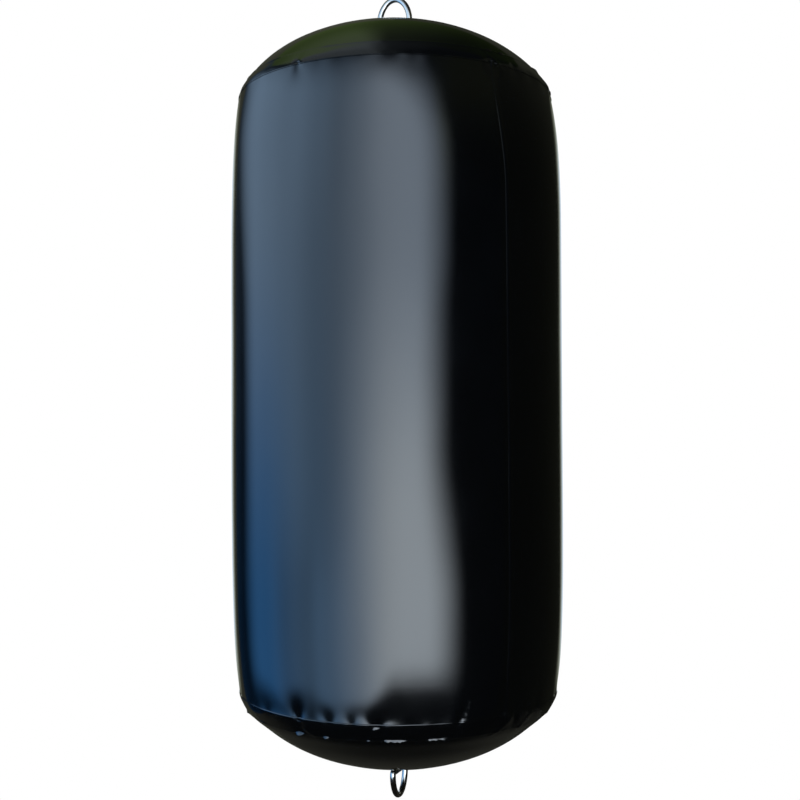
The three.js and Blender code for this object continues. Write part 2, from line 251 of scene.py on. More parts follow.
def coated_fabric(name, tint, roughness):
    """Smooth black coating with the cloth's threads faintly showing through it."""
    finish = Finish(name)
    x, y, z = finish.place()
    patches = finish.noise(9, 3)
    grain = finish.noise(420, 2)
    around = finish.angle(y, x)
    threads = (around * 1250).sine() * 0.5 + (z * 5400).sine() * 0.5
    film = finish.bump(finish.noise(34, 2), 0.0004, 0.2)
    fine = finish.bump(grain * 0.6 + threads * 0.4, 0.00002, 0.2, film)
    dust = patches.step(0.42, 0.78)
    return finish.surface(
        Base_Color=finish.blend(dust * 0.5, tint, tuple(2.1 * c for c in tint)),
        Roughness=roughness + (patches - 0.5) * 0.12 + (grain - 0.5) * 0.05,
        Normal=fine,
        Coat_Weight=1.0,
        Coat_Roughness=0.09,
    )


def webbing_finish():
    """Ribs along the strap with a twill across them, and some fuzz."""
    finish = Finish("woven_webbing")
    coordinates = finish.node("UVMap", {"uv_map": "weave"}).outputs[0]
    parts = finish.node("SeparateXYZ", None, {0: coordinates}).outputs
    across, along = Level(finish, parts[0]), Level(finish, parts[1])
    rib = (across * 3900).sine()
    twill = (along * 2600 + across * 1300).sine()
    height = rib * 0.6 + twill * 0.4
    fuzz = finish.noise(900, 3)
    # Colour follows the weave: painted shade darkens the grooves and the raised threads are
    # lighter, and the fuzz adds random tone.
    shade = (height * 0.25 + fuzz * 0.5 + 0.2).step(0.0, 1.0)
    return finish.surface(
        Base_Color=finish.blend(shade, (0.006, 0.006, 0.007), (0.03, 0.03, 0.032)),
        Roughness=0.72 + fuzz * 0.2,
        Normal=finish.bump(height + fuzz * 0.4, 0.0003, 0.8),
    )


def polished_steel():
    finish = Finish("polished_steel")
    drawn = finish.noise(900, 3, vector=finish.stretched((1, 1, 0.08)))
    marks = finish.noise(160, 4)
    return finish.surface(
        Base_Color=finish.blend(marks, (0.66, 0.61, 0.55), (0.80, 0.75, 0.68)),
        Metallic=1.0,
        Roughness=0.07 + marks * 0.1 + drawn * 0.04,
        Normal=finish.bump(drawn, 0.00002, 0.4),
    )


def moulded_nylon():
    finish = Finish("moulded_nylon")
    grain = finish.noise(1500, 2)
    return finish.surface(
        Base_Color=finish.blend(finish.noise(60), (0.018, 0.018, 0.019), (0.034, 0.034, 0.036)),
        Roughness=0.38 + grain * 0.16,
        Normal=finish.bump(grain, 0.00005, 0.5),
    )


def black_rubber():
    finish = Finish("black_rubber")
    grain = finish.noise(1100, 3)
    return finish.surface(
        Base_Color=finish.blend(grain, (0.007, 0.007, 0.007), (0.018, 0.018, 0.018)),
        Roughness=0.7 + grain * 0.15,
        Normal=finish.bump(grain, 0.0001, 0.6),
    )


# Studio


def card(name, material, start, end, radius, low, high):
    """A screen that stands round part of the fender and lights it, out of the camera's sight."""
    mesh = bmesh.new()
    foot = direction(math.radians(start)) * radius
    ends = [mesh.verts.new(foot + Vector((0, 0, height))) for height in (low, high)]
    edge = mesh.edges.new(ends)
    bmesh.ops.spin(
        mesh, geom=[*ends, edge], cent=(0, 0, 0), axis=(0, 0, 1),
        angle=math.radians(end - start), steps=24, use_merge=False,
    )
    return staged(name, mesh, material)


def disc(name, material, radius, height):
    """A level round sheet of the studio."""
    mesh = bmesh.new()
    place = Matrix.Translation((0, 0, height))
    bmesh.ops.create_circle(mesh, cap_ends=True, segments=96, radius=radius, matrix=place)
    return staged(name, mesh, material)


def staged(name, mesh, material):
    """Puts a mesh into the scene as part of the studio."""
    data = bpy.data.meshes.new(name)
    mesh.to_mesh(data)
    mesh.free()
    data.materials.append(material)
    item = bpy.data.objects.new(name, data)
    bpy.context.scene.collection.objects.link(item)
    return item


def bearings(finish):
    """The angle round the studio, in degrees to the right of the camera's side, and the height."""
    x, y, z = finish.place()
    forward, sideways = towards(x, y)
    return finish.angle(sideways, forward) * (180 / math.pi), z


def towards(x, y):
    """How far a point is forward, towards the camera's side, and how far to its right."""
    ahead, right = direction(0), direction(math.pi / 2)
    return x * ahead.x + y * ahead.y, x * right.x + y * right.y


def sky_glow():
    """Open sky over the quay: blue on the left, and brightest low in the middle."""
    finish = Finish("sky_glow")
    side, z = bearings(finish)
    high = z.step(-0.8, 0.9)
    low = z.step(0.7, -0.4)
    far_left = side.step(-50, -98)
    middle = side.step(-48, 8)
    deep = finish.blend(side.step(-100, -55), (0.10, 0.41, 1.0), (0.32, 0.60, 1.0))
    blue = finish.blend(high, deep, (0.47, 0.70, 1.0))
    white = finish.blend(low, (0.68, 0.82, 1.0), (0.81, 0.91, 1.0))
    tone = finish.blend(side.step(-55, -2), blue, white)
    tone = finish.blend(side.step(22, 42) * z.step(0.6, 1.6), tone, (0.9, 1.0, 0.6))
    strength = 1.18 + far_left * (high * 0.25 - 0.3) + middle * (1.1 + low * 1.25)
    # Brighter and darker places in it
    strength += side.step(-112, -84) * side.step(-50, -72) * 0.34
    strength += z.step(-0.3, -0.8) * side.step(-66, -50) * side.step(-22, -38) * 0.26
    strength += z.step(0.5, 1.2) * side.step(-84, -60) * side.step(-36, -52) * 0.2
    strength -= z.step(-0.5, 0.1) * side.step(-50, -34) * side.step(-8, -24) * 0.14
    strength -= z.step(-0.2, -0.7) * side.step(-92, -76) * side.step(-50, -60) * 0.3
    # Its right edge, left edge and foot
    turn = 23 + z.step(-0.1, -0.7) * 8.5 + z.step(0.15, 0.6) * 3 - z.step(1.0, 2.1) * 18
    blur = 14 + z.step(1.3, 1.8) * 8
    right_edge = 1 - (side - turn).step(0 - blur, blur)
    left_edge = side.step(-126 - z.step(0.3, 1.2) * 14, -104)
    shore = side.step(0, -24) * -0.40 + side.step(-44, -64) * 0.23
    shore = shore + side.step(-84, -112) * 0.2 - 0.09
    softness = side.step(-25, 0) * 0.07
    foot = (z - shore).step(-1.36 - softness, -1.0 + softness)
    fade = z.step(2.5, 1.5)
    strength = strength * right_edge * left_edge * foot * fade
    # Faint light beyond its edges
    strength = strength + z.step(0.9, 1.8) * 0.03 + side.step(-116, -136) * 0.03
    return finish.glow(tone, strength + 0.012)


def shade_glow():
    """Dark trees on the right, and a soft panel behind the fender that lights its back."""
    finish = Finish("shade_glow")
    side, z = bearings(finish)
    strength = 0.011 + side.step(-60, -140) * 0.03 + z.step(0.8, 2.4) * 0.025
    behind = side.absolute().step(144, 160) * z.step(-1.15, -0.7) * z.step(1.35, 0.8)
    tone = finish.blend(behind, (0.95, 1.0, 0.72), (0.72, 0.85, 1.0))
    return finish.glow(tone, strength + behind * 0.9)


def dark_reflection_glow():
    """A dark sheet lying on the floor, seen only in reflections, which glows faintly and a little
    more behind the fender: a painted dark reflection of the floor.
    """
    finish = Finish("dark_reflection_sheet")
    x, y, _ = finish.place()
    forward, _ = towards(x, y)
    return finish.glow((1.0, 1.0, 0.82), 0.007 + forward.step(0.1, -1.2) * 0.02)


def roof_glow():
    """Overhead: dull light on the left, and nearly dark on the right and towards the back."""
    finish = Finish("roof_glow")
    x, y, _ = finish.place()
    forward, sideways = towards(x, y)
    back = forward.step(0.3, -1.9)
    tone = finish.blend(forward.step(0.15, -0.15), (0.80, 0.92, 1.0), (0.78, 1.0, 0.58))
    tone = finish.blend(back, tone, (0.65, 1.0, 0.30))
    left = sideways.step(-0.04, -0.5) * (1 - back * 0.85) * 0.25
    strength = left + sideways.step(1.0, -0.3) * 0.038
    return finish.glow(tone, strength + 0.015)


def pale_floor():
    finish = Finish("pale_floor")
    speckle = finish.noise(3, 3)
    return finish.surface(
        Base_Color=finish.blend(speckle, (0.70, 0.70, 0.69), (0.76, 0.76, 0.75)),
        Roughness=0.8,
    )


def build_studio():
    """Floor, cards out of the camera's sight, a soft lamp and white air."""
    disc("floor", pale_floor(), FLOOR_RADIUS, FLOOR_HEIGHT)
    dark_reflection_sheet = disc("dark_reflection_sheet", dark_reflection_glow(), DARK_SHEET_RADIUS, DARK_SHEET_HEIGHT)
    unseen = [
        card("sky_card", sky_glow(), -140, 72, SKY_RADIUS, CARD_FOOT, CARD_TOP),
        card("shade_card", shade_glow(), 71, 221, SHADE_RADIUS, CARD_FOOT, CARD_TOP),
        disc("shade_roof", roof_glow(), ROOF_RADIUS, ROOF_HEIGHT),
        dark_reflection_sheet,
    ]
    for item in unseen:
        item.visible_camera = False
    # The dark sheet lights nothing and casts no shadow; it is seen only in reflections, as a
    # painted dark reflection.
    dark_reflection_sheet.visible_diffuse = False
    dark_reflection_sheet.visible_shadow = False
    lamp = bpy.data.objects.new("soft_lamp", bpy.data.lights.new("soft_lamp", "AREA"))
    lamp.data.shape = "DISK"
    lamp.data.size = 1.6
    lamp.data.energy = 26
    aim = Vector((0.35, 0.45, -1)).to_track_quat("-Z", "Y").to_matrix().to_4x4()
    lamp.matrix_world = Matrix.Translation((-0.9, -1.2, 2.5)) @ aim
    lamp.visible_glossy = False
    bpy.context.scene.collection.objects.link(lamp)
    world = bpy.data.worlds.new("plain_white")
    bpy.context.scene.world = world
    world.use_nodes = True
    air = Finish("", world.node_tree)
    path = air.node("LightPath").outputs
    seen = Level(air, path["Is Camera Ray"])
    seen = seen + Level(air, path["Is Glossy Ray"]) + Level(air, path["Is Transmission Ray"])
    backing = air.node("Background", None, {"Color": (1.0, 1.0, 1.0), "Strength": 1.0})
    ambient = air.node("Background", None, {"Color": (0.9, 0.95, 1.0), "Strength": 0.5})
    mixed = air.node(
        "MixShader", None, {0: seen, 1: ambient.outputs[0], 2: backing.outputs[0]}
    )
    air.node("OutputWorld", None, {"Surface": mixed.outputs[0]})
    bpy.context.scene.view_settings.view_transform = "Standard"


# Making of pieces


def piece(name, mesh, material, body, stands_for, sharp=None):
    """A visible piece that rides on a body and takes the place of nodes of the solids."""
    data = bpy.data.meshes.new(name)
    mesh.to_mesh(data)
    mesh.free()
    data.materials.append(material)
    data.shade_smooth()
    if sharp:
        data.set_sharp_from_angle(angle=math.radians(sharp))
    made = bpy.data.objects.new(name, data)
    bpy.context.scene.collection.objects.link(made)
    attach(made, body)
    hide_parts(*stands_for)


def spun(profile, steps, closed=False):
    """A profile of (radius, height) points turned about the Z axis."""
    mesh = bmesh.new()
    points = [mesh.verts.new((r, 0, z)) for r, z in profile]
    ends = points[1:] + points[:1] if closed else points[1:]
    edges = [mesh.edges.new(pair) for pair in zip(points, ends)]
    bmesh.ops.spin(
        mesh, geom=[*points, *edges], cent=(0, 0, 0), axis=(0, 0, 1),
        angle=2 * math.pi, steps=steps, use_merge=True,
    )
    bmesh.ops.remove_doubles(mesh, verts=mesh.verts, dist=1e-6)
    bmesh.ops.recalc_face_normals(mesh, faces=mesh.faces)
    return mesh


def swept(outline, frames, closed=False):
    """An outline carried along frames, each of which places it. Its UVs are (across, along)."""
    mesh = bmesh.new()
    weave = mesh.loops.layers.uv.new("weave")
    across = mesh.verts.layers.float.new("across")
    along = mesh.verts.layers.float.new("along")
    ring = [mesh.verts.new(frames[0] @ Vector((x, y, 0))) for x, y in outline]
    for vert, (x, _) in zip(ring, outline):
        vert[across] = x
    loop = [mesh.edges.new(pair) for pair in zip(ring, ring[1:] + ring[:1])]
    first = loop
    length = 0.0
    for before, after in zip(frames, frames[1:]):
        grown = bmesh.ops.extrude_edge_only(mesh, edges=loop)["geom"]
        moved, loop = far_side(grown)
        bmesh.ops.transform(mesh, matrix=after @ before.inverted(), verts=moved)
        length += (after.translation - before.translation).length
        for vert in moved:
            vert[along] = length
    if closed:
        bmesh.ops.bridge_loops(mesh, edges=first + loop)
    else:
        bmesh.ops.holes_fill(mesh, edges=first + loop)
    bmesh.ops.recalc_face_normals(mesh, faces=mesh.faces)
    for face in mesh.faces:
        for corner in face.loops:
            corner[weave].uv = (corner.vert[across], corner.vert[along])
    return mesh


def far_side(grown):
    """The points that an extrusion added, and the edges that join them."""
    moved = [item for item in grown if isinstance(item, bmesh.types.BMVert)]
    new = set(moved)
    edges = [item for item in grown if isinstance(item, bmesh.types.BMEdge)]
    return moved, [edge for edge in edges if set(edge.verts) <= new]


def eased(value, start, end):
    """Runs smoothly from 0 at start to 1 at end."""
    part = min(max((value - start) / (end - start), 0), 1)
    return part * part * (3 - 2 * part)


def hump(value, middle, width):
    """Rises smoothly to 1 at the middle, and is gone at about twice the width from it."""
    return math.exp(-(((value - middle) / width) ** 2))


# Bag


class End:
    """One end of the bag: its seam and how the fabric gathers along it."""

    def __init__(self, side, seed, marked, puckers, ridges):
        self.side = side
        self.ridges = ridges
        self.puckers = puckers
        self.rim_radius = WALL_RADIUS - RIM_DRAW_IN
        self.half_width = self.rim_radius + DOME_OVERRUN
        self.rim_angle = math.acos(self.rim_radius / self.half_width)
        self.half_height = DOME_HEIGHT / (1 - math.sin(self.rim_angle))
        self.centre = RIM_HEIGHT + DOME_HEIGHT - self.half_height
        # Lengths along the dome from the rim up to its crown
        self.arc = [0.0]
        for i in range(ARC_STEPS):
            a, b = (self.dome_at(self.rim_angle + (math.pi / 2 - self.rim_angle) * t / ARC_STEPS)
                    for t in (i, i + 1))
            self.arc.append(self.arc[-1] + (Vector(b) - Vector(a)).length)
        self.dome_length = self.arc[-1]
        self.folds = self.make_folds(random.Random(seed), marked)

    def make_folds(self, chance, marked):
        """Folds all round the seam, by chance where the photo doesn't show them."""
        folds = []
        for i in range(FOLD_COUNT):
            bearing = FOLD_PITCH * i + FIRST_FOLD
            moved, depth, slant = (
                chance.uniform(-2.6, 2.6), chance.uniform(1.2, 3.0), chance.uniform(-0.6, 0.6),
            )
            width, wall, dome = (
                chance.uniform(1.5, 2.7), chance.uniform(14, 32), chance.uniform(9, 24),
            )
            if bearing in marked:
                moved, depth, slant = marked[bearing][:3]
                width, wall, dome = marked[bearing][3:] or (width, wall, dome)
            folds.append({
                "angle": math.radians(bearing + moved),
                "depth": depth * MM,
                "width": math.radians(width),
                "wall": wall * MM,
                "dome": dome * MM,
                "slant": slant,
            })
        return folds

    def hides(self, bearing):
        """Whether the photo leaves this part of the seam to be guessed."""
        return abs((bearing - SEEN_MIDDLE + 180) % 360 - 180) > SEEN_HALF_WIDTH

    def dome_at(self, angle):
        """(radius, height) of the dome, which is the top of a flat ellipse."""
        height = self.centre + self.half_height * math.sin(angle)
        return self.half_width * math.cos(angle), height

    def meridian(self, past_rim):
        """(radius, height) of the bag at a length past the rim, over the dome or down the wall."""
        if past_rim <= 0:
            draw = RIM_DRAW_IN * math.exp(past_rim / DRAW_REACH)
            return WALL_RADIUS - draw, RIM_HEIGHT + past_rim
        share = min(past_rim / self.dome_length, 1)
        low, high = 0, len(self.arc) - 1
        while high - low > 1:
            middle = (low + high) // 2
            if self.arc[middle] <= share * self.dome_length:
                low = middle
            else:
                high = middle
        part = (share * self.dome_length - self.arc[low]) / (self.arc[high] - self.arc[low])
        sweep = (low + part) / (len(self.arc) - 1)
        return self.dome_at(self.rim_angle + (math.pi / 2 - self.rim_angle) * sweep)

    def normal(self, past_rim):
        """The way out of the bag there, as (radius, height)."""
        a, b = self.meridian(past_rim - 0.4 * MM), self.meridian(past_rim + 0.4 * MM)
        along = Vector((b[0] - a[0], b[1] - a[1])).normalized()
        return Vector((along.y, -along.x))

    def offset(self, past_rim, lift):
        """(radius, height) of a place lifted off the bag."""
        normal = self.normal(past_rim)
        r, z = self.meridian(past_rim)
        return r + normal.x * lift, z + normal.y * lift

    def past_rim(self, r, z):
        """The length past the rim of a place given by its radius and height."""
        if z <= RIM_HEIGHT:
            return z - RIM_HEIGHT
        angle = math.atan2((z - self.centre) / self.half_height, r / self.half_width)
        share = (angle - self.rim_angle) / (math.pi / 2 - self.rim_angle)
        spot = min(max(share, 0), 1) * (len(self.arc) - 1)
        low = min(int(spot), len(self.arc) - 2)
        return self.arc[low] + (self.arc[low + 1] - self.arc[low]) * (spot - low)

    def gather(self, angle, past_rim):
        """How far the folds draw the fabric in at this place."""
        total = 0
        nearest = round((math.degrees(angle) - FIRST_FOLD) / FOLD_PITCH)
        for i in range(nearest - 2, nearest + 3):
            fold = self.folds[i % FOLD_COUNT]
            off = angle - fold["angle"] - fold["slant"] * past_rim
            off = (off + math.pi) % (2 * math.pi) - math.pi
            reach = fold["dome"] if past_rim > 0 else fold["wall"]
            fade = math.exp(-abs(past_rim) / reach)
            width = fold["width"] * (1 + 1.6 * abs(past_rim) / reach)
            total += fold["depth"] * fade * hump(off, 0, width)
        along = past_rim / MM
        for bearing, height, slant, width, start, stop in self.ridges:
            begin, end = start - RIDGE_FADE, stop + RIDGE_FADE
            if begin < along < end:
                off = angle - math.radians(bearing + slant * along)
                fade = min(1, (along - begin) / RIDGE_FADE, (end - along) / RIDGE_FADE)
                total -= height * MM * fade * hump(off, 0, math.radians(width))
        return total


# Folds that the photo shows: the usual angle, then how far it is turned, its depth, its slant, and
# where it matters its width in degrees and its reach down the wall and up the dome
TOP_FOLDS = {
    -145: (1, 1.2, 0), -135: (-1, 0.6, 0), -125: (2, 0.5, 0.2), -115: (0, 0.3, 0),
    -105: (2.6, 2.4, 0, 0.8, 13, 11), -95: (1, 0.4, 0), -85: (-2, 0.4, 0.3),
    -75: (5.5, 0.6, 0.2, 3.0, 16, 12),
    -65: (3, 0.5, 0), -55: (2, 0.9, 0), -45: (1, 0.9, 0.3), -35: (0.2, 2.6, 0, 1.4, 16, 18),
    -25: (1, 1.6, 0.4, 1.0, 12, 16), -15: (0, 1.2, 0), -5: (2, 1.4, 0),
}
BOTTOM_FOLDS = {
    -145: (1, 0.9, 0), -135: (-1, 0.6, 0.3), -125: (0, 0.5, 0.3),
    -115: (-2, 0.5, 0.2, 1.4, 14, 12), -105: (2.6, 3.4, 0.1, 1.1, 17, 14),
    -95: (4.2, 1.7, 0, 1.0, 11, 12), -85: (2.2, 1.7, 0, 0.9, 10, 12),
    -75: (0.4, 2.4, 0, 2.0, 13, 14), -65: (1.5, 1.0, 0), -55: (-1, 1.0, 0),
    -45: (-3.5, 2.4, -2.3, 1.0, 20, 14), -35: (1, 1.4, 0.4), -25: (-1, 1.8, 0.5, 1.0, 14, 20),
    -15: (0, 0.9, 0), -5: (2, 0.8, 0), 5: (0, 1.0, 0),
}
# Puckers of the tape's edge that the photo shows: angle, half width in degrees and height
TOP_PUCKERS = [(-33, 1.2, 0.7), (-27, 1.0, 0.5)]
BOTTOM_PUCKERS = [
    (-103.5, 1.5, 1.3), (-93, 0.9, 1.2), (-77, 1.5, 0.9), (-69, 4.2, 1.0), (-54.5, 4.0, 0.9),
    (-84, 1.0, 0.4),
]
# Raised creases: angle at the seam, height, degrees that it turns per mm, half width, and the
# lengths past the rim, in mm, that it runs between
TOP_RIDGES = [
    (-33.4, 1.5, -0.1, 0.55, 6, 24), (-32.6, 1.3, -0.25, 0.8, -4, 3),
    (-31.2, 0.9, 0, 0.7, -14, -3),
]
BOTTOM_RIDGES = [
    (-75.0, 1.9, -0.12, 0.6, 3, 15), (-104, 1.5, 0.35, 0.8, 9, 16),
    (-27.6, 1.1, -0.25, 0.8, 6, 24), (-17.5, 1.0, -0.2, 0.9, 2, 20),
    (-47.4, 1.1, -0.135, 0.5, -26, -2),
]
TOP = End(1, 11, TOP_FOLDS, TOP_PUCKERS, TOP_RIDGES)
BOTTOM = End(-1, 5, BOTTOM_FOLDS, BOTTOM_PUCKERS, BOTTOM_RIDGES)


def settle(mesh):
    """Draws the fabric in where it gathers, and gives the bag the slight waves of real cloth."""
    for vert in mesh.verts:
        x, y, z = vert.co
        radius = math.hypot(x, y)
        end = TOP if z > 0 else BOTTOM
        place = end.past_rim(radius, abs(z))
        wave = noise.noise(Vector((x * 9, y * 9, z * 5))) * CLOTH_WAVE
        wave += noise.noise(Vector((x * 24, y * 24, z * 16 + 7))) * CLOTH_RIPPLE
        shift = wave * min(1, radius / (60 * MM))
        if end is TOP and place > 0:
            lean = TOP_LEAN * math.sin(math.pi * min(place / end.dome_length, 1))
            vert.co -= direction(math.pi / 2) * lean
        if end is BOTTOM:
            shift += SEAM_BULGE * hump(place, SEAM_BULGE_PLACE, SEAM_BULGE_WIDTH)
        right = max(0, vert.co.dot(direction(math.pi / 2)) / WALL_RADIUS)
        shift += SIDE_BULGE * right**3 * hump(z, SIDE_BULGE_PLACE, SIDE_BULGE_WIDTH)
        if abs(place) < GATHER_REACH and radius > 20 * MM:
            shift -= end.gather(math.atan2(y, x), place)
        if radius > 1e-6:
            normal = end.normal(place)
            vert.co.x += x / radius * normal.x * shift
            vert.co.y += y / radius * normal.x * shift
            vert.co.z += math.copysign(normal.y * shift, z)


def spaced(stops):
    """Lengths past the rim, from (end, step) pairs that follow each other."""
    lengths = [0.0]
    for stop, step in stops:
        count = max(1, round((stop - lengths[-1]) / step))
        start = lengths[-1]
        lengths += [start + (stop - start) * (i + 1) / count for i in range(count)]
    return lengths


def bag():
    """The tube and both domes, with finer rows where they gather."""
    profile = []
    for end in (TOP, BOTTOM):
        up = spaced([(40 * MM, 2.2 * MM), (90 * MM, 5 * MM), (end.dome_length, 10 * MM)])
        down = spaced([(50 * MM, 2.2 * MM), (130 * MM, 6 * MM), (RIM_HEIGHT, 20 * MM)])
        half = [end.meridian(length) for length in reversed(up)]
        half += [end.meridian(-length) for length in down[1:]]
        if end is TOP:
            profile += half[:-1]
        else:
            profile += [(WALL_RADIUS, 0)] + [(r, -z) for r, z in reversed(half[:-1])]
    profile[0] = (0, profile[0][1])
    profile[-1] = (0, profile[-1][1])
    mesh = spun(profile, SKIN_STEPS)
    settle(mesh)
    return mesh


def wall_radius(z):
    """The radius of the tube at a height."""
    end = TOP if z > 0 else BOTTOM
    return end.meridian(abs(z) - RIM_HEIGHT)[0]


def lap():
    """The edge of the sheet, welded down along the side."""
    outline = [(-4.4, -0.3), (-3.6, -0.02), (-3.0, 0.2), (-1.8, 0.66), (-0.7, 0.93), (0.6, 0.95),
               (1.9, 0.72), (3.1, 0.41), (4.2, 0.27), (5.2, 0.24), (9, 0.28), (15, 0.18), (22, 0),
               (28, -0.3)]
    mesh = bmesh.new()
    start = [mesh.verts.new((x * MM, -RIM_HEIGHT, h * MM)) for x, h in outline]
    line = [mesh.edges.new(pair) for pair in zip(start, start[1:])]
    rows = 150
    for _ in range(rows):
        grown = bmesh.ops.extrude_edge_only(mesh, edges=line)["geom"]
        moved, line = far_side(grown)
        bmesh.ops.translate(mesh, verts=moved, vec=(0, 2 * RIM_HEIGHT / rows, 0))
    for vert in mesh.verts:
        across, z, lift = vert.co
        wander = noise.noise(Vector((z * 6, 3, 1))) * 0.9 * MM
        pulled = eased(z, 0.25, 0.40)
        wander -= LAP_SHIFT * pulled
        lift *= 1.03 - 0.12 * pulled - 0.21 * eased(z, -0.08, -0.24)
        angle = LAP_ANGLE + (across + wander) / WALL_RADIUS
        radius = wall_radius(z) + lift
        vert.co = Vector((radius * math.cos(angle), radius * math.sin(angle), z))
    bmesh.ops.recalc_face_normals(mesh, faces=mesh.faces)
    settle(mesh)
    return mesh


def seam_tape(end):
    """The welded strip that covers the seam, with a puckered bead along its edge on the dome."""
    over = [(-4.3, -0.4), (-4.1, 0), (-3.72, 0.7), (-3.1, 0.71), (-2.5, 0.66), (-1.6, 0.52),
            (-0.8, 0.38), (0, 0.3), (0.8, 0.38), (1.6, 0.52), (2.5, 0.66), (4, 0.8), (6, 0.86),
            (9.5, 0.8), (13, 0.75), (16.4, 0.7), (17.6, 0.72), (18.3, 0.8), (19.0, 0.9),
            (19.8, 0.85), (20.5, 0.6), (21.0, 0.25), (21.3, -0.4)]
    profile = [end.offset(length * MM, lift * MM) for length, lift in over]
    profile.append(end.offset(9 * MM, -0.9 * MM))
    profile.append(end.offset(-1 * MM, -0.9 * MM))
    if end.side < 0:
        profile = [(r, -z) for r, z in profile]
    mesh = spun(profile, TAPE_STEPS, closed=True)
    for vert in mesh.verts:
        x, y, z = vert.co
        place = end.past_rim(math.hypot(x, y), abs(z))
        bead = hump(place, BEAD_PLACE, BEAD_WIDTH)
        bearing = math.degrees(math.atan2(y, x))
        pucker = max(0, noise.noise(Vector((x * 40, y * 40, 5 * end.side))) + 0.1)
        pucker *= 1 + noise.noise(Vector((x * 190, y * 190, 3)))
        pucker *= 1 if end.hides(bearing) else 0.4
        for place_seen, width, height in end.puckers:
            ragged = 1 + 1.1 * noise.noise(Vector((x * 210, y * 210, 9)))
            pucker += height * ragged * math.exp(-(((bearing - place_seen) / width) ** 4))
        outward = end.normal(place)
        lift = bead * pucker * PUCKER_HEIGHT
        radius = math.hypot(x, y)
        vert.co.x += x / radius * outward.x * lift
        vert.co.y += y / radius * outward.x * lift
        vert.co.z += end.side * outward.y * lift
    settle(mesh)
    return mesh


# Fittings: made on the top end, then placed by a matrix on each end


def place_end(mesh, end):
    """Moves a fitting from the top end, with the ring's bar along X, to its own end."""
    if end is BOTTOM:
        turn = Matrix.Rotation(math.pi / 2, 4, "Z") @ Matrix.Diagonal((1, 1, -1, 1))
        bmesh.ops.transform(mesh, matrix=turn, verts=mesh.verts)
        bmesh.ops.reverse_faces(mesh, faces=mesh.faces)
    return mesh


def dome_height(radius, lift=0.0):
    """The height of the top dome at a distance from the axis."""
    angle = math.acos(min(radius / TOP.half_width, 1))
    return TOP.dome_at(angle)[1] + lift


def steel_ring():
    """Round wire bent to a straight bar below and a bow above it."""
    half = RING_HALF_WIDTH
    straight = half - RING_CORNER
    spine = [(straight * (i / 8 - 1), 0) for i in range(17)]
    spine += [(straight + RING_CORNER * math.sin(a), RING_CORNER * (1 - math.cos(a)))
              for a in (math.radians(9 * i) for i in range(1, 10))]
    bow = RING_HEIGHT - RING_CORNER
    spine += [(half * math.cos(a), RING_CORNER + bow * math.sin(a))
              for a in (math.radians(2.5 * i) for i in range(0, 73))]
    spine += [(-straight - RING_CORNER * math.cos(a), RING_CORNER * (1 - math.sin(a)))
              for a in (math.radians(9 * i) for i in range(1, 10))]
    frames = []
    count = len(spine)
    for i, (x, z) in enumerate(spine):
        (bx, bz), (ax, az) = spine[i - 1], spine[(i + 1) % count]
        along = Vector((ax - bx, 0, az - bz)).normalized()
        side = Vector((0, 1, 0))
        up = along.cross(side)
        turn = Matrix((side, up, along)).transposed().to_4x4()
        frames.append(Matrix.Translation((x, 0, BAR_HEIGHT + z)) @ turn)
    outline = [(WIRE_RADIUS * math.cos(a), WIRE_RADIUS * math.sin(a))
               for a in (2 * math.pi * i / 28 for i in range(28))]
    return swept(outline, frames, closed=True)


def webbing_loop():
    """Over the ring's bar, down both sides and out under the cover patch."""
    inside = WIRE_RADIUS + 0.25 * MM
    middle = inside + WEBBING / 2
    bend = 3.3 * MM
    under = 1.6 * MM
    foot = dome_height(middle + bend, under + WEBBING / 2)
    path = []
    for i in range(7):
        y = TAIL_REACH + (middle + bend - TAIL_REACH) * i / 6
        path.append((y, dome_height(y, under + WEBBING / 2)))
    for i in range(1, 9):
        a = math.radians(90 * i / 8)
        path.append((middle + bend - bend * math.sin(a), foot + bend - bend * math.cos(a)))
    path.append((middle, (foot + bend + BAR_HEIGHT) / 2))
    for i in range(0, 13):
        a = math.radians(180 * i / 12)
        path.append((middle * math.cos(a), BAR_HEIGHT + middle * math.sin(a)))
    path += [(-y, z) for y, z in reversed(path[:16])]
    frames = []
    for i, (y, z) in enumerate(path):
        (by, bz), (ay, az) = path[max(i - 1, 0)], path[min(i + 1, len(path) - 1)]
        along = Vector((0, ay - by, az - bz)).normalized()
        side = Vector((1, 0, 0))
        up = along.cross(side)
        turn = Matrix((side, up, along)).transposed().to_4x4()
        frames.append(Matrix.Translation((0, y, z)) @ turn)
    w, t = WEBBING_WIDTH / 2, WEBBING / 2
    corner = 0.5 * MM
    outline = [(-w, -t + corner), (-w + corner, -t)]
    outline += [(-w + 2 * w * i / 8, -t) for i in range(1, 8)]
    outline += [(w - corner, -t), (w, -t + corner), (w, t - corner), (w - corner, t)]
    outline += [(w - 2 * w * i / 8, t) for i in range(1, 8)]
    outline += [(-w + corner, t), (-w, t - corner)]
    return swept(outline, frames)


def base_patch():
    """The round patch that is welded to the dome."""
    profile = [(0, 1.3), (15, 1.3), (30, 1.3), (45, 1.3), (55, 1.3), (58.6, 1.3), (60.2, 1.1),
               (61, 0.6), (61.1, -0.3)]
    return spun([(r * MM, dome_height(r * MM, h * MM)) for r, h in profile], PATCH_STEPS)


